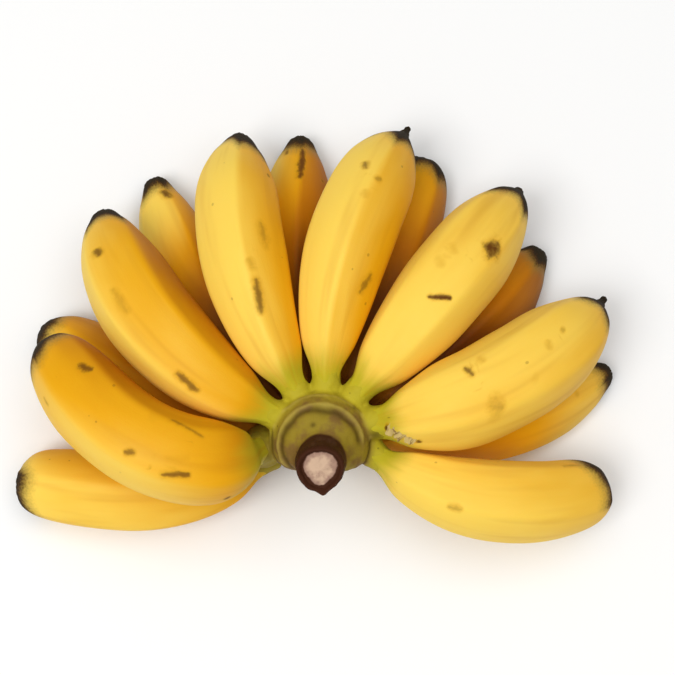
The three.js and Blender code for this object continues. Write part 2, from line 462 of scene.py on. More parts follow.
class StageLooks(bpy.types.PropertyGroup):
    """Floor and light."""

    floor: colour_property("Floor", "Pale floor", 250, 250, 249)
    key_power: FloatProperty(
        name="Key", description="Power of the main soft light", default=18.0, min=0.0, unit="POWER",
    )
    fill_power: FloatProperty(
        name="Fill", description="Power of the light over the hand", default=21.0, min=0.0, unit="POWER",
    )
    sky: FloatProperty(
        name="Sky", description="Brightness of the even light all round", default=0.32, min=0.0,
    )


def smooth_share(value, low, high):
    """0 below low, 1 above high, with an even curve between. Low may be the larger."""
    share = min(1.0, max(0.0, (value - low) / (high - low)))
    return share * share * (3.0 - 2.0 * share)


def bell(distance, width):
    """1 at no distance, falling off on both sides to about a third at the width."""
    return math.exp(-((distance / width) ** 2))


def table_value(table, place):
    """The value at a place in a table of (place, value), straight between its lines."""
    for (start, first), (end, last) in zip(table, table[1:]):
        if place <= end:
            return first + (last - first) * (place - start) / (end - start)
    return table[-1][1]


def curve_through(points, steps):
    """Points along a smooth curve through the given ones, with steps between each two."""
    made = []
    for i in range(len(points) - 1):
        a, b, c, d = (Vector(points[min(max(i + k, 0), len(points) - 1)]) for k in (-1, 0, 1, 2))
        for k in range(steps):
            t = k / steps
            bend = (2 * a - 5 * b + 4 * c - d) * t**2 + (3 * b - a - 3 * c + d) * t**3
            made.append(0.5 * (2 * b + (c - a) * t + bend))
    return made + [Vector(points[-1])]


def way_of(compass, tilt):
    """The unit vector of a compass heading and a tilt above the horizon."""
    compass = math.radians(compass)
    tilt = math.radians(tilt)
    return Vector((math.cos(tilt) * math.cos(compass), math.cos(tilt) * math.sin(compass), math.sin(tilt)))


class CentreLine:
    """A line that turns from one heading and tilt to another, most of it near the start."""

    def __init__(self, start, length, headings, tilts, ease, upper):
        self.length = length
        self.headings = headings
        self.tilts = tilts
        self.ease = ease
        self.upper = upper
        self.points = [start.copy()]
        for i in range(BEND_STEPS):
            step = self.way((i + 0.5) / BEND_STEPS) * (length / BEND_STEPS)
            self.points.append(self.points[-1] + step)

    def way(self, share):
        """The line's direction at a share of its length."""
        turned = 1 - (1 - min(1.0, max(0.0, share))) ** self.ease
        (neck, tip), (low, high) = self.headings, self.tilts
        return way_of(neck + (tip - neck) * turned, low + (high - low) * turned)

    def axes(self, share):
        """Point, sideways, outward and along at a share of the length, which may run past the end."""
        inside = min(1.0, max(0.0, share))
        before = min(int(inside * BEND_STEPS), BEND_STEPS - 1)
        along = self.way(inside)
        point = self.points[before].lerp(self.points[before + 1], inside * BEND_STEPS - before)
        out = (self.upper - along * self.upper.dot(along)).normalized()
        return point + along * (share - inside) * self.length, along.cross(out), out, along

    def place(self, across, out, distance):
        """Where a point of the straight shape goes on the bent one."""
        point, side, outward, _ = self.axes(distance / self.length)
        return point + side * across + outward * out


def banana_plan(node):
    """A banana's own values over those of its row, with its centre line."""
    plan = {**COMMON, **ROWS[BANANAS[node]["row"]], **BANANAS[node]}
    start = HAND_MIDDLE + way_of(plan["seat"], 0) * plan["seat_radius"] + UP * plan["seat_height"]
    headings = (plan["neck"], plan["tip"])
    tilts = (plan["neck_tilt"], plan["tip_tilt"])
    plan["line"] = CentreLine(start, plan["length"], headings, tilts, plan["bend_ease"], UP)
    return plan


def stalk_line():
    """The centre line of the stalk, from its cut foot to the cut end of its stub."""
    return CentreLine(STALK_FOOT, STALK_LENGTH, (-90, -90), STALK_TILTS, 1.0, FAN_WAY)


def face_outwards(bm):
    """Turns the faces of a closed shape outwards, after its points have moved."""
    bm.normal_update()
    bmesh.ops.recalc_face_normals(bm, faces=bm.faces[:])
    bm.normal_update()


def turned_shape(rings, sides, end_height=None):
    """A bmesh made by turning rings of (radius, height) round Z, closed on the axis at both ends.

    The far end is flat unless its height on the axis is given.
    """
    end = rings[-1][1] if end_height is None else end_height
    profile = [(0.0, rings[0][1]), *rings, (0.0, end)]
    bm = bmesh.new()
    corners = [bm.verts.new((radius, 0.0, height)) for radius, height in profile]
    edges = [bm.edges.new(pair) for pair in zip(corners, corners[1:])]
    bmesh.ops.spin(
        bm, geom=corners + edges, cent=(0, 0, 0), axis=(0, 0, 1), dvec=(0, 0, 0),
        angle=math.tau, steps=sides, use_merge=True,
    )
    bmesh.ops.remove_doubles(bm, verts=bm.verts[:], dist=1e-6)
    face_outwards(bm)
    return bm


def float_layers(bm, *names):
    """New values on a bmesh's points, one layer for each name."""
    return [bm.verts.layers.float.new(name) for name in names]


def mesh_from(bm, name):
    """Makes a bmesh a mesh and frees it."""
    mesh = bpy.data.meshes.new(name)
    bm.to_mesh(mesh)
    bm.free()
    return mesh


def object_from(bm, name):
    """Makes a bmesh an object of the scene."""
    made = bpy.data.objects.new(name, mesh_from(bm, name))
    bpy.context.scene.collection.objects.link(made)
    return made


def finish_piece(bm, name, material, slot, *nodes):
    """Makes a bmesh a piece of the hand, with its material and the nodes that it stands for; its slot is not
    used.
    """
    for face in bm.faces:
        face.smooth = True
    piece = object_from(bm, name)
    piece.data.materials.append(material)
    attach(piece, BODY)
    if nodes:
        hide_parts(*nodes)
    return piece


def subdivide(piece, levels):
    """Gives a piece a smooth subdivided surface."""
    modifier = piece.modifiers.new("Smooth", "SUBSURF")
    modifier.levels = levels
    modifier.render_levels = levels


def sight_line(pixel):
    """The view's place and the direction through a pixel of the picture."""
    look = way_of(90, -VIEW_TILT)
    right = look.cross(UP).normalized()
    up = right.cross(look)
    scale = SENSOR / (LENS * PICTURE_SIDE)
    across = (pixel[0] - PICTURE_SIDE / 2) * scale
    rise = (PICTURE_SIDE / 2 - pixel[1]) * scale
    return VIEW_TARGET - look * VIEW_DISTANCE, (look + right * across + up * rise).normalized()


def peel_point(tree, middle, pixel):
    """The point of a banana's peel that a pixel shows, or the nearest one where it shows its edge."""
    eye, way = sight_line(pixel)
    hit = tree.ray_cast(eye, way)[0]
    return hit or tree.find_nearest(eye + way * (middle - eye).dot(way))[0]


def lay_marks(bm, node):
    """Stores where each peel point is on the nearest mark, along and across it, and how brown that is."""
    place_of = bm.verts.layers.float_vector.new("mark_place")
    width_of, depth_of = float_layers(bm, "mark_width", "mark_depth")
    tree = BVHTree.FromBMesh(bm)
    middle = sum((v.co for v in bm.verts), Vector()) / len(bm.verts)
    strokes = []
    for mark in MARKS.get(node, ()):
        start, end = (peel_point(tree, middle, pixel) for pixel in (mark.start, mark.end))
        centre = (start + end) / 2
        along = (end - start).normalized()
        across = tree.find_nearest(centre)[1].cross(along).normalized()
        strokes.append((mark, centre, along, across, (end - start).length / 2))
    for vertex in bm.verts:
        nearest = next_nearest = math.inf
        for mark, centre, along, across, half_length in strokes:
            away = vertex.co - centre
            run = away.dot(along)
            past = max(abs(run) - half_length, 0.0)
            edge = math.hypot(past, (away - along * run).length) - mark.half_width
            next_nearest = min(next_nearest, max(edge, nearest))
            if edge < nearest:
                nearest = edge
                vertex[place_of] = (run, away.dot(across), half_length)
                vertex[width_of] = mark.half_width
                vertex[depth_of] = mark.brown
        alone = smooth_share(next_nearest - nearest, *MARKS_APART)
        vertex[depth_of] *= alone * smooth_share(nearest, *MARK_FADE)


def ridge_share(angle):
    """0 half way between two of a banana's five ridges and 1 on a ridge, for an angle from one of them."""
    fifth = math.tau / 5
    flat = math.cos(fifth / 2)
    return (flat / math.cos(angle % fifth - fifth / 2) - flat) / (1 - flat)


def banana_outline(plan):
    """The banana's outline with its dry flower end: distance along it, radius."""
    nub = plan["nub"] / plan["length"]
    flower_end = ((1 + 0.5 * nub, 0.075), (1 + nub, 0.07), (1 + nub + 0.003, 0.04))
    shares = NECK_OUTLINES[plan["neck_shape"]] + END_OUTLINES[plan["end_shape"]] + flower_end
    return [(share * plan["length"], radius * plan["girth"] / 2) for share, radius in shares]


def grow_banana(node, number, looks):
    """A bmesh of one banana: turned from its outline, ridged and dented, then bent along its centre line."""
    plan = banana_plan(node)
    length = plan["length"]
    half_girth = plan["girth"] / 2
    rings = [(radius, along) for along, radius in curve_through(banana_outline(plan), looks.rings)]
    bm = turned_shape(rings, looks.sides)
    unbent_of = bm.verts.layers.float_vector.new("unbent")
    tone_and_shade_of, cap_of, green_of = float_layers(bm, "tone", "cap", "green")
    own_place = UP * (PATTERN_STEP * number)
    for vertex in bm.verts:
        x, y, z = vertex.co
        share = z / length
        radius = math.hypot(x, y)
        angle = math.atan2(x, y)
        ridge = ridge_share(angle - math.radians(plan["roll"] + RIDGE_TWIST * (share - 0.5)))
        round_place = Vector((math.sin(angle), math.cos(angle), 0.0)) * half_girth + own_place
        unbent = round_place + UP * z
        dry = smooth_share(share, FLOWER_START, 1.0)
        strength = looks.ridge * (1 - 0.4 * smooth_share(share, *RIDGE_FADE)) * (1 - dry)
        reach = radius * (1 + strength * (ridge - 0.5))
        reach += radius / half_girth * looks.dents * noise.noise(unbent * DENT_GRAIN) * (1 - dry)
        reach *= 1 + 0.3 * dry * noise.noise(unbent * WRINKLE_GRAIN)
        vertex[unbent_of] = unbent
        # Painted shade: the tone deepens towards the neck by the root shade, low between the bananas
        vertex[tone_and_shade_of] = plan["tone"] + plan["root_shade"] * smooth_share(share, *ROOT_SHADE_FADE)
        vertex[green_of] = share + GREEN_REACH * (1 - plan["green"])
        leaning = plan["cap_lean"] * math.cos(angle - math.radians(plan["cap_side"]))
        cap = plan["cap"] * (0.8 + 0.5 * ridge) + leaning
        vertex[cap_of] = z - length + cap + CAP_EDGE_WAVE * noise.noise(round_place * CAP_EDGE_GRAIN)
        if radius > 0:
            x *= reach / radius
            y *= reach / radius
        vertex.co = plan["line"].place(x, y, z)
        vertex.co.z = max(vertex.co.z, 0.0)
    face_outwards(bm)
    # Painted shade: the tone deepens on the flank that faces away from the key light
    for vertex in bm.verts:
        vertex[tone_and_shade_of] += looks.flank * plan["flank"] * vertex.normal.dot(SHADED_FLANK)
    lay_marks(bm, node)
    return bm


def fan_share(angle):
    """1 on the fan's side of the crown, 0 on its bare front."""
    return 1 - smooth_share(abs(math.degrees(angle)), FAN_HALF_ANGLE, FAN_HALF_ANGLE + FAN_FADE_ANGLE)


def crown_lean(along, angle):
    """How much farther the crown reaches at an angle from the fan, which ends where the bark starts."""
    return CROWN_LEAN * math.cos(angle) * smooth_share(along, BARK_START, BARK_START - LEAN_FADE)


def grow_cushion(line):
    """A bmesh of the crown's cushion and the stalk that it grew on, bent along the stalk."""
    bm = turned_shape([(radius, along) for along, radius in CROWN_OUTLINE], STALK_SIDES)
    for vertex in bm.verts:
        x, y, z = vertex.co
        radius = math.hypot(x, y)
        if radius > 0:
            bare = STALK_FOOT_RADIUS + (STALK_END_RADIUS - STALK_FOOT_RADIUS) * z / STALK_LENGTH
            angle = math.atan2(x, y)
            reach = bare + (radius + crown_lean(z, angle) - bare) * fan_share(angle)
            x *= reach / radius
            y *= reach / radius
        vertex.co = line.place(x, y, z)
    face_outwards(bm)
    return bm


def grow_collar(node, usual_swell):
    """A bmesh of the crown's flesh round one neck, which thins out along it until it lies under the peel."""
    plan = banana_plan(node)
    swell = plan["collar"] * usual_swell
    rings = []
    for along, neck in curve_through(banana_outline(plan)[:3], 8):
        thinned = along / (COLLAR_SHARE * plan["length"])
        if thinned < 1:
            sunk = COLLAR_SUNK * smooth_share(thinned, 0.3, 1.0)
            rings.append((neck + swell * (1 - thinned) ** 2 - sunk, along))
    bm = turned_shape(rings, COLLAR_SIDES)
    for vertex in bm.verts:
        vertex.co = plan["line"].place(*vertex.co)
    face_outwards(bm)
    return bm


def fuse(bm, grain):
    """Joins a bmesh's overlapping bodies into one skin with soft creases."""
    rough = object_from(bm, "rough_crown")
    mesh = rough.data
    remesh = rough.modifiers.new("Fuse", "REMESH")
    remesh.mode = "VOXEL"
    remesh.voxel_size = grain
    fused = bmesh.new()
    fused.from_object(rough, bpy.context.evaluated_depsgraph_get())
    bpy.data.objects.remove(rough)
    bpy.data.meshes.remove(mesh)
    for _ in range(SMOOTHINGS):
        bmesh.ops.smooth_vert(
            fused, verts=fused.verts[:], factor=0.5, use_axis_x=True, use_axis_y=True, use_axis_z=True
        )
    return fused


def stalk_place(line, point):
    """A point's distance along the stalk, its distance from the stalk's middle and its angle from the fan."""
    along = STALK_LENGTH / 2
    for _ in range(4):
        middle, side, out, way = line.axes(along / STALK_LENGTH)
        along += (point - middle).dot(way)
    away = point - middle
    return along, math.hypot(away.dot(side), away.dot(out)), math.atan2(away.dot(side), away.dot(out))


def grow_crown(looks):
    """A bmesh of the crown: cushion, stalk and collars in one skin, with the bract scars raised on it."""
    line = stalk_line()
    bm = grow_cushion(line)
    for node in BANANAS:
        mesh = mesh_from(grow_collar(node, looks.collar), "collar")
        bm.from_mesh(mesh)
        bpy.data.meshes.remove(mesh)
    bm = fuse(bm, looks.grain)
    bm.normal_update()
    layers = float_layers(bm, "scar", "groove", "neck", "bark", "worn", "low_shade")
    scar_and_highlight_of, groove_and_shadow_of, neck_of, bark_of, worn_of, low_shade_of = layers
    tree = BVHTree.FromBMesh(bm)
    spots_and_shadow = [(tree.ray_cast(*sight_line(pixel))[0], size) for pixel, size in CROWN_SPOTS_AND_SHADOW]
    moves = []
    for vertex in bm.verts:
        along, radius, angle = stalk_place(line, vertex.co)
        turn = math.degrees(angle)
        radius -= crown_lean(along, angle)
        uneven = noise.noise(vertex.co * COARSE_GRAIN)
        lift = 0.0
        for scar in BRACT_SCARS:
            shown = smooth_share(turn, scar.last + SCAR_FADE_ANGLE, scar.last - SCAR_FADE_ANGLE)
            shown *= smooth_share(turn, scar.first - SCAR_FADE_ANGLE, scar.first + SCAR_FADE_ANGLE)
            away = math.hypot(along - scar.along, radius - scar.radius) + 0.001 * uneven
            inside = smooth_share(scar.radius - radius, 0.0, 0.001)
            crest = bell(away, CREST_WIDTH) * shown
            ditch = bell(away - DITCH_INSET, DITCH_WIDTH) * shown * inside * scar.grooved
            vertex[scar_and_highlight_of] = max(vertex[scar_and_highlight_of], crest)
            vertex[groove_and_shadow_of] = max(vertex[groove_and_shadow_of], ditch)
            lift += scar.height * crest - DITCH_DEPTH * ditch
        # The last spot is painted shadow, darkened like a groove
        for spot, size in spots_and_shadow:
            vertex[groove_and_shadow_of] = max(vertex[groove_and_shadow_of], bell((vertex.co - spot).length, size))
        neck_start = NECK_START + NECK_START_RIGHT * smooth_share(turn, -55, -80)
        olive_side = 1 - 0.6 * smooth_share(turn, 60, 90)
        vertex[neck_of] = smooth_share(radius, neck_start, neck_start + NECK_FADE) * olive_side
        barked = smooth_share(along + 0.001 * uneven, BARK_START, BARK_START + BARK_FADE)
        vertex[bark_of] = barked * (1 - vertex[neck_of])
        vertex[worn_of] = smooth_share(turn, 45, 75) * (1 - vertex[neck_of])
        # Painted shade: low on the fan side, under the upper row, the necks' green turns to the red brown of
        # shade
        low = smooth_share(vertex.co.z, 0.04, 0.031) * smooth_share(abs(turn), 100, 85)
        vertex[low_shade_of] = low * vertex[neck_of]
        lift += FINE_HEIGHT * noise.noise(vertex.co * FINE_GRAIN) + COARSE_HEIGHT * uneven
        moves.append((vertex, vertex.normal * lift))
    for vertex, move in moves:
        vertex.co += move
    return bm


def grow_cut(line, end_share, radius, rise):
    """A bmesh of a cut end of the stalk: a curled rim of bark round a face of pith."""
    rings = curve_through([(share * radius, height) for share, height in CUT_OUTLINE], 5)
    bm = turned_shape(rings, STALK_SIDES, 0.0)
    bmesh.ops.subdivide_edges(bm, edges=bm.edges[:], cuts=1, use_grid_fill=True)
    (reach_of,) = float_layers(bm, "reach")
    unbent_of = bm.verts.layers.float_vector.new("unbent")
    knob_x, knob_y, knob_size = CUT_KNOB
    for vertex in bm.verts:
        x, y, z = vertex.co
        angle = math.atan2(x, y)
        shape = 1 + 0.03 * math.cos(angle) - 0.03 * math.cos(3 * angle) + 0.03 * noise.noise(vertex.co * 260)
        pith_edge = table_value(PITH_EDGE, abs(math.degrees(angle)))
        knob = bell(math.hypot(x - knob_x, y - knob_y), knob_size) * (end_share > 0)
        vertex[reach_of] = math.hypot(x, y) / radius / pith_edge + knob
        vertex[unbent_of] = vertex.co
        z += 0.00035 * noise.noise(vertex.co * 700) + 0.0004 * noise.noise(vertex.co * 220) + 0.0008 * knob
        shape += 0.09 * knob
        vertex.co = line.place(x * shape, y * shape, end_share * STALK_LENGTH + rise * z)
    face_outwards(bm)
    return bm


def grow_scrap(scrap, number, trees):
    """A bmesh of one dry scrap: a curled and ragged flake that lies on what its pixel shows."""
    eye, way = sight_line(scrap.pixel)
    hits = [hit for hit in (tree.ray_cast(eye, way) for tree in trees) if hit[0]]
    point, normal, _, _ = min(hits, key=lambda hit: hit[3])
    normal = (normal + SCRAP_LEVEL * UP).normalized()
    right = normal.orthogonal().normalized()
    forward = normal.cross(right)
    turn = math.radians(scrap.turn)
    long_way = right * math.cos(turn) + forward * math.sin(turn)
    wide_way = normal.cross(long_way)
    bm = bmesh.new()
    bmesh.ops.create_grid(bm, x_segments=14, y_segments=8, size=1.0)
    bmesh.ops.solidify(bm, geom=bm.faces[:], thickness=SCRAP_THICKNESS)
    bmesh.ops.subdivide_edges(bm, edges=bm.edges[:], cuts=1, use_grid_fill=True)
    unbent_of = bm.verts.layers.float_vector.new("unbent")
    own_place = Vector((0.0, 0.0, 3.0 * number))
    for vertex in bm.verts:
        x, y, z = vertex.co
        ragged = 1 + 0.35 * noise.noise(Vector((x, y, 0.0)) * 1.7 + own_place)
        rounded = 1 - 0.3 * y * y
        curl = SCRAP_CURL * y * y + 0.2 * noise.noise(Vector((x, y, 0.0)) * 1.3 + own_place * 2)
        run = x * scrap.half_length
        across = y * scrap.half_width
        vertex[unbent_of] = Vector((run, across, z * scrap.half_width)) + own_place
        place = long_way * (run * rounded * ragged) + wide_way * (across * ragged)
        vertex.co = point + place + normal * ((z + curl) * scrap.half_width)
    face_outwards(bm)
    return bm


def put(tree, kind, inputs=None, **options):
    """Adds a node, sets its options, and links or fills its inputs by name or number."""
    made = tree.nodes.new(kind)
    for name, value in options.items():
        setattr(made, name, value)
    for key, value in (inputs or {}).items():
        if isinstance(value, bpy.types.NodeSocket):
            tree.links.new(value, made.inputs[key])
        else:
            made.inputs[key].default_value = value
    return made


def reckon(tree, operation, *values):
    """The result of a sum on one or two values."""
    return put(tree, "ShaderNodeMath", dict(enumerate(values)), operation=operation).outputs[0]


def fade(tree, value, low, high):
    """0 where a value is below low and 1 where it is above high, smoothly. Low may be the larger."""
    inputs = {0: value, 1: low, 2: high}
    return put(tree, "ShaderNodeMapRange", inputs, interpolation_type="SMOOTHSTEP").outputs[0]


def scaled(tree, value, factor):
    """A value times a number."""
    return reckon(tree, "MULTIPLY", value, factor)


def mixed(tree, factor, first, second):
    """Two colours mixed by a factor. Each is a socket, or red, green and blue."""
    first, second = (c if isinstance(c, bpy.types.NodeSocket) else (*c, 1.0) for c in (first, second))
    return put(tree, "ShaderNodeMix", {0: factor, 6: first, 7: second}, data_type="RGBA").outputs[2]


def field(tree, name, output="Fac"):
    """A value or vector stored on the piece's points."""
    return put(tree, "ShaderNodeAttribute", attribute_name=name).outputs[output]


def grain_noise(tree, vector, scale, stretch=(1, 1, 1), detail=3.0):
    """Noise of a number of grains a metre, stretched along the axes."""
    moved = put(tree, "ShaderNodeMapping", {"Vector": vector, "Scale": stretch}).outputs[0]
    inputs = {"Vector": moved, "Scale": scale, "Detail": detail, "Roughness": 0.55}
    return put(tree, "ShaderNodeTexNoise", inputs).outputs[0]


def swing_noise(tree, vector, scale, stretch=(1, 1, 1), detail=3.0):
    """Grain noise that swings about 0."""
    return reckon(tree, "SUBTRACT", grain_noise(tree, vector, scale, stretch, detail), 0.5)


def plant_specks():
    """A group that scatters small round specks, more of them where the share is larger."""
    group = bpy.data.node_groups.new("plant_specks", "ShaderNodeTree")
    for name, kind in (("Vector", "Vector"), ("Scale", "Float"), ("Share", "Float")):
        group.interface.new_socket(name, in_out="INPUT", socket_type=f"NodeSocket{kind}")
    group.interface.new_socket("Mask", in_out="OUTPUT", socket_type="NodeSocketFloat")
    given = group.nodes.new("NodeGroupInput").outputs
    cells = put(group, "ShaderNodeTexVoronoi", {"Vector": given["Vector"], "Scale": given["Scale"]})
    chance = put(group, "ShaderNodeSeparateColor", {0: cells.outputs["Color"]}).outputs
    chosen = reckon(group, "LESS_THAN", chance[0], given["Share"])
    size = reckon(group, "MULTIPLY_ADD", chance[1], 0.12, 0.05)
    dot = fade(group, reckon(group, "DIVIDE", cells.outputs["Distance"], size), 1.0, 0.55)
    put(group, "NodeGroupOutput", {"Mask": reckon(group, "MULTIPLY", dot, chosen)})
    return group


def speckled(tree, group, vector, scale, share):
    """The specks group placed in a material."""
    inputs = {"Vector": vector, "Scale": scale, "Share": share}
    return put(tree, "ShaderNodeGroup", inputs, node_tree=group).outputs["Mask"]


def new_material(name, even):
    """A material and its Principled shader, with the values that are even all over the surface."""
    material = bpy.data.materials.new(name)
    material.use_nodes = True
    tree = material.node_tree
    tree.nodes.clear()
    shader = put(tree, "ShaderNodeBsdfPrincipled", even)
    put(tree, "ShaderNodeOutputMaterial", {"Surface": shader.outputs[0]})
    return material, tree, shader


def raised(tree, shader, height):
    """Links a height in metres to a shader as bump."""
    bump = put(tree, "ShaderNodeBump", {"Height": height, "Distance": 1.0, "Strength": 1.0})
    tree.links.new(bump.outputs[0], shader.inputs["Normal"])


def mark_mask(tree, ragged):
    """1 inside the peel's marks, fading to 0 round them with a soft and uneven edge."""
    place = put(tree, "ShaderNodeSeparateXYZ", {0: field(tree, "mark_place", "Vector")}).outputs
    run = reckon(tree, "ABSOLUTE", place[0])
    past = reckon(tree, "MAXIMUM", reckon(tree, "SUBTRACT", run, place[2]), 0.0)
    squares = reckon(tree, "MULTIPLY_ADD", past, past, reckon(tree, "MULTIPLY", place[1], place[1]))
    edge = reckon(tree, "DIVIDE", reckon(tree, "SQRT", squares), field(tree, "mark_width"))
    blotched = swing_noise(tree, field(tree, "unbent", "Vector"), 330)
    tapered = reckon(tree, "POWER", reckon(tree, "DIVIDE", run, reckon(tree, "ADD", place[2], 0.0005)), 2.0)
    edge = reckon(tree, "MULTIPLY_ADD", tapered, 0.35, edge)
    edge = reckon(tree, "MULTIPLY_ADD", blotched, 1.6, reckon(tree, "MULTIPLY_ADD", ragged, 0.7, edge))
    return fade(tree, edge, 1.8, 0.0)


def peel_material(looks, specks):
    """Ripe peel: yellows that deepen to red brown, partly as painted shade on one flank and low in the hand;
    green at the neck, brown marks and specks, and a dark dry tip.
    """
    material, tree, shader = new_material("banana_peel", {
        "Specular IOR Level": PLANT_SPECULAR, "Subsurface Weight": 0.12, "Subsurface Scale": 0.004,
        "Subsurface Radius": (1.0, 0.55, 0.12),
    })
    place = field(tree, "unbent", "Vector")
    patches = swing_noise(tree, place, 38, (1, 1, 0.35))
    # The tone holds the painted shade of the flank and the root, which takes the peel to deep amber and red
    # brown
    tone = reckon(tree, "MULTIPLY_ADD", patches, 1.2, field(tree, "tone"))
    colour = mixed(tree, fade(tree, tone, -0.1, 1.1), looks.ripe, looks.amber)
    colour = mixed(tree, fade(tree, tone, 0.9, 2.1), colour, looks.deep)
    colour = mixed(tree, fade(tree, tone, 1.9, 3.1), colour, looks.root)
    uneven = grain_noise(tree, place, 70, (1, 1, 0.4))
    green_edge = reckon(tree, "MULTIPLY_ADD", uneven, 0.14, field(tree, "green"))
    colour = mixed(tree, fade(tree, green_edge, 0.265, 0.15), colour, looks.neck)
    ragged = swing_noise(tree, place, 900, detail=4.0)
    cap_edge = reckon(tree, "MULTIPLY_ADD", ragged, 0.005, field(tree, "cap"))
    ashen = scaled(tree, fade(tree, cap_edge, -0.008, 0.001), 0.8)
    colour = mixed(tree, ashen, colour, looks.end)
    streaks = fade(tree, grain_noise(tree, place, 130, (1, 1, 0.12), 2.0), 0.5, 0.8)
    colour = mixed(tree, scaled(tree, streaks, 0.3), colour, looks.deep)
    dots = speckled(tree, specks, place, 210, 0.12)
    colour = mixed(tree, scaled(tree, dots, 0.35), colour, looks.bruise)
    mark = mark_mask(tree, ragged)
    brown = reckon(tree, "MULTIPLY", mark, field(tree, "mark_depth"))
    mark_tone = mixed(tree, fade(tree, brown, 0.2, 0.75), looks.faint, looks.bruise)
    colour = mixed(tree, reckon(tree, "POWER", brown, 0.85), colour, mark_tone)
    cap = fade(tree, cap_edge, -0.003, 0.0022)
    dry_tone = mixed(tree, grain_noise(tree, place, 500), looks.dry, looks.bruise)
    dry_dark = mixed(tree, fade(tree, cap_edge, 0.0, 0.004), dry_tone, looks.dry)
    colour = mixed(tree, cap, colour, dry_dark)
    tree.links.new(colour, shader.inputs["Base Color"])
    gloss = reckon(tree, "MULTIPLY_ADD", grain_noise(tree, place, 160), 0.16, 0.44)
    dull = reckon(tree, "MAXIMUM", cap, scaled(tree, brown, 0.5))
    tree.links.new(reckon(tree, "MULTIPLY_ADD", dull, 0.35, gloss), shader.inputs["Roughness"])
    fibres = scaled(tree, grain_noise(tree, place, 700, (1, 1, 0.08)), 0.00006)
    pores = scaled(tree, grain_noise(tree, place, 1500), 0.00004)
    sunk = scaled(tree, reckon(tree, "ADD", brown, dots), -0.00006)
    crust = scaled(tree, reckon(tree, "MULTIPLY", ragged, cap), 0.0006)
    even = reckon(tree, "ADD", fibres, pores)
    raised(tree, shader, reckon(tree, "ADD", even, reckon(tree, "ADD", sunk, crust)))
    return material


def crown_material(looks, peel, specks):
    """Olive crown: pale scars over dark grooves, green towards the necks and dark bark up the stub, with
    painted shade on the low necks, a painted shadow by the right necks and a painted highlight rim where the
    necks start.
    """
    material, tree, shader = new_material("crown_flesh", {"Specular IOR Level": PLANT_SPECULAR})
    place = put(tree, "ShaderNodeTexCoord").outputs["Object"]
    patches = reckon(tree, "MULTIPLY_ADD", field(tree, "worn"), 0.14, grain_noise(tree, place, 110))
    colour = mixed(tree, fade(tree, patches, 0.42, 0.66), looks.olive, looks.shade)
    colour = mixed(tree, scaled(tree, field(tree, "neck"), 0.8), colour, peel.neck)
    # Painted shade: red brown on the low necks under the upper row
    colour = mixed(tree, field(tree, "low_shade"), colour, peel.root)
    # Dark grooves and specks, and the painted shadow spot by the right necks
    colour = mixed(tree, scaled(tree, field(tree, "groove"), 0.75), colour, looks.groove)
    # Pale scars, and the painted highlight rim where the necks start
    colour = mixed(tree, scaled(tree, field(tree, "scar"), 0.55), colour, looks.scar)
    dots = speckled(tree, specks, place, 260, 0.3)
    colour = mixed(tree, scaled(tree, dots, 0.45), colour, looks.groove)
    fibres = grain_noise(tree, place, 420, (1, 1, 0.25))
    worn_bark = scaled(tree, fade(tree, fibres, 0.4, 0.75), 0.08)
    bark_tone = mixed(tree, worn_bark, looks.bark, looks.pith_dark)
    colour = mixed(tree, field(tree, "bark"), colour, bark_tone)
    tree.links.new(colour, shader.inputs["Base Color"])
    tree.links.new(reckon(tree, "MULTIPLY_ADD", fibres, 0.25, 0.5), shader.inputs["Roughness"])
    raised(tree, shader, scaled(tree, fibres, 0.0003))
    return material


def cut_material(looks, specks):
    """The cut stalk: a dark rim of bark round pink beige pith with the dark ends of its fibres, older patches
    and painted shade towards the rim.
    """
    even = {"Roughness": 0.75, "Specular IOR Level": PLANT_SPECULAR}
    material, tree, shader = new_material("cut_stalk", even)
    place = field(tree, "unbent", "Vector")
    ragged = swing_noise(tree, place, 420)
    reach = reckon(tree, "MULTIPLY_ADD", ragged, 0.22, field(tree, "reach"))
    # Darker towards the rim as painted shade, over uneven older patches
    aged_and_rim_shade = reckon(tree, "MULTIPLY_ADD", fade(tree, reach, 0.55, 1.0), 0.3, grain_noise(tree, place, 220))
    colour = mixed(tree, fade(tree, aged_and_rim_shade, 0.45, 0.8), looks.pith, looks.pith_dark)
    dots = speckled(tree, specks, place, 900, 0.6)
    colour = mixed(tree, scaled(tree, dots, 0.25), colour, looks.bark)
    colour = mixed(tree, fade(tree, reach, 0.94, 1.06), colour, looks.bark)
    tree.links.new(colour, shader.inputs["Base Color"])
    raised(tree, shader, scaled(tree, ragged, 0.0005))
    return material


def scrap_material(looks):
    """Dry bract: pale tan with brown veins and a papery surface."""
    material, tree, shader = new_material("dry_bract", {"Roughness": 0.85, "Specular IOR Level": 0.2})
    place = field(tree, "unbent", "Vector")
    veins = grain_noise(tree, place, 900, (0.3, 1, 1))
    colour = mixed(tree, fade(tree, veins, 0.45, 0.7), looks.scrap, looks.shade)
    tree.links.new(colour, shader.inputs["Base Color"])
    raised(tree, shader, scaled(tree, veins, 0.0003))
    return material


def floor_material(stage):
    """A pale, almost even floor."""
    material, tree, shader = new_material("pale_floor", {"Roughness": 0.7})
    place = put(tree, "ShaderNodeTexCoord").outputs["Object"]
    tone = scaled(tree, grain_noise(tree, place, 9), 0.04)
    colour = mixed(tree, tone, stage.floor, FLOOR_PATCH)
    tree.links.new(colour, shader.inputs["Base Color"])
    return material


def shared_specks():
    """The specks group, made once."""
    return bpy.data.node_groups.get("plant_specks") or plant_specks()


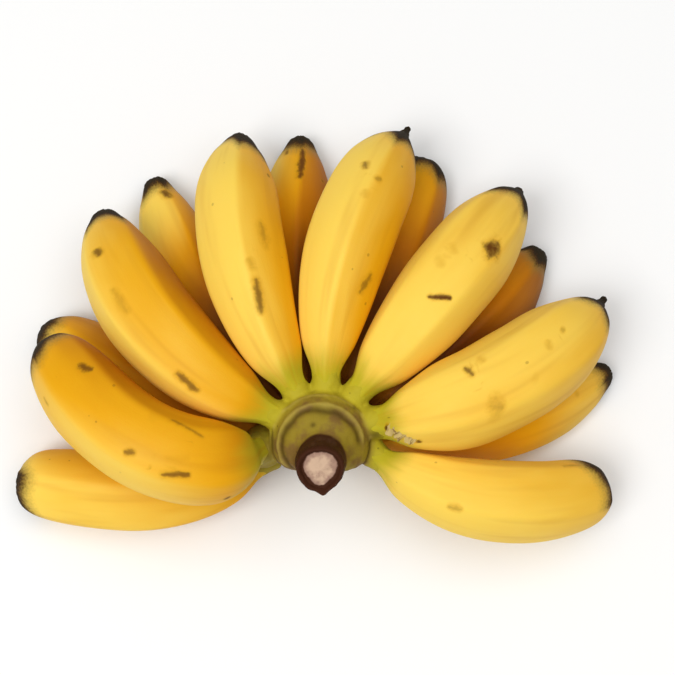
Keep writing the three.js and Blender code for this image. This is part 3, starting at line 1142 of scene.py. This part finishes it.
class HAND_OT_bananas(bpy.types.Operator):
    """Grow the bananas along their centre lines, with ridges, marks and dry tips"""

    bl_idname = "banana_hand.bananas"
    bl_label = "Grow Bananas"

    def execute(self, context):
        looks = context.scene.banana_looks
        material = peel_material(looks, shared_specks())
        for number, node in enumerate(BANANAS):
            bm = grow_banana(node, number, looks)
            piece = finish_piece(bm, f"ripe_{node}", material, "peel", node)
            subdivide(piece, 1)
        return {"FINISHED"}


class HAND_OT_crown(bpy.types.Operator):
    """Grow the crown with its collars round the necks, its bract scars and the stub of the stalk"""

    bl_idname = "banana_hand.crown"
    bl_label = "Grow Crown"

    def execute(self, context):
        scene = context.scene
        material = crown_material(scene.crown_looks, scene.banana_looks, shared_specks())
        finish_piece(grow_crown(scene.crown_looks), "olive_crown", material, "crown", "crown")
        return {"FINISHED"}


class HAND_OT_cuts(bpy.types.Operator):
    """Cut both ends of the stalk, with pith inside a curled rim of bark"""

    bl_idname = "banana_hand.cuts"
    bl_label = "Cut Stalk Ends"

    def execute(self, context):
        material = cut_material(context.scene.crown_looks, shared_specks())
        line = stalk_line()
        finish_piece(grow_cut(line, 1.0, STALK_END_RADIUS, 1), "stalk_end_cut", material, "crown")
        finish_piece(grow_cut(line, 0.0, STALK_FOOT_RADIUS, -1), "stalk_foot_cut", material, "crown")
        return {"FINISHED"}


class HAND_OT_scraps(bpy.types.Operator):
    """Lay the scraps of dry bract that are caught between two necks"""

    bl_idname = "banana_hand.scraps"
    bl_label = "Lay Dry Scraps"

    def execute(self, context):
        material = scrap_material(context.scene.crown_looks)
        carriers = [piece for piece in context.scene.objects if piece.name.startswith(("ripe_", "olive_"))]
        seen = context.evaluated_depsgraph_get()
        trees = [BVHTree.FromObject(piece, seen) for piece in carriers]
        for number, scrap in enumerate(SCRAPS, 1):
            finish_piece(grow_scrap(scrap, number, trees), f"dry_scrap_{number:02}", material, "crown")
        return {"FINISHED"}


class HAND_OT_stage(bpy.types.Operator):
    """Set out the pale floor, the soft lights and the view"""

    bl_idname = "banana_hand.stage"
    bl_label = "Set Out Stage"

    def execute(self, context):
        scene = context.scene
        stage = scene.stage_looks
        bm = bmesh.new()
        bmesh.ops.create_grid(bm, x_segments=4, y_segments=4, size=FLOOR_HALF_SIDE)
        floor = object_from(bm, "pale_floor")
        floor.data.materials.append(floor_material(stage))
        add_light("key_light", KEY_PLACE, KEY_SIZE, stage.key_power)
        add_light("fill_light", FILL_PLACE, FILL_SIZE, stage.fill_power)
        scene.world = bpy.data.worlds.new("even_sky")
        scene.world.use_nodes = True
        sky = scene.world.node_tree.nodes["Background"]
        sky.inputs["Color"].default_value = (1.0, 1.0, 1.0, 1.0)
        sky.inputs["Strength"].default_value = stage.sky
        scene.view_settings.view_transform = "Standard"
        add_view(scene)
        return {"FINISHED"}


def add_light(name, place, size, power):
    """A soft square light that faces the hand."""
    light = bpy.data.lights.new(name, "AREA")
    light.size = size
    light.energy = power
    lamp = bpy.data.objects.new(name, light)
    lamp.location = place
    lamp.rotation_euler = (VIEW_TARGET - place).to_track_quat("-Z", "Y").to_euler()
    bpy.context.scene.collection.objects.link(lamp)


def add_view(scene):
    """The camera at the picture's angle."""
    look = way_of(90, -VIEW_TILT)
    camera = bpy.data.cameras.new("view")
    camera.sensor_width = SENSOR * 1000
    camera.lens = LENS * 1000
    camera.clip_start = 0.01
    view = bpy.data.objects.new("view", camera)
    view.location = VIEW_TARGET - look * VIEW_DISTANCE
    view.rotation_euler = look.to_track_quat("-Z", "Y").to_euler()
    scene.collection.objects.link(view)
    scene.camera = view


class HAND_PT_panel(bpy.types.Panel):
    """The hand's steps and looks."""

    bl_idname = "HAND_PT_panel"
    bl_label = "Hand of Bananas"
    bl_space_type = "VIEW_3D"
    bl_region_type = "UI"
    bl_category = "Bananas"

    def draw(self, context):
        for operator in OPERATORS:
            self.layout.operator(operator.bl_idname)
        for name in LOOKS:
            looks = getattr(context.scene, name)
            box = self.layout.box()
            for field_name in looks.__annotations__:
                box.prop(looks, field_name)


OPERATORS = (HAND_OT_bananas, HAND_OT_crown, HAND_OT_cuts, HAND_OT_scraps, HAND_OT_stage)
LOOKS = {"banana_looks": BananaLooks, "crown_looks": CrownLooks, "stage_looks": StageLooks}
CLASSES = (*LOOKS.values(), *OPERATORS, HAND_PT_panel)


def register():
    for cls in CLASSES:
        bpy.utils.register_class(cls)
    for name, looks in LOOKS.items():
        setattr(bpy.types.Scene, name, PointerProperty(type=looks))


def unregister():
    for name in LOOKS:
        delattr(bpy.types.Scene, name)
    for cls in reversed(CLASSES):
        bpy.utils.unregister_class(cls)


def main():
    register()
    bpy.ops.banana_hand.bananas()
    bpy.ops.banana_hand.crown()
    bpy.ops.banana_hand.cuts()
    bpy.ops.banana_hand.scraps()
    bpy.ops.banana_hand.stage()


if __name__ == "__main__":
    main()
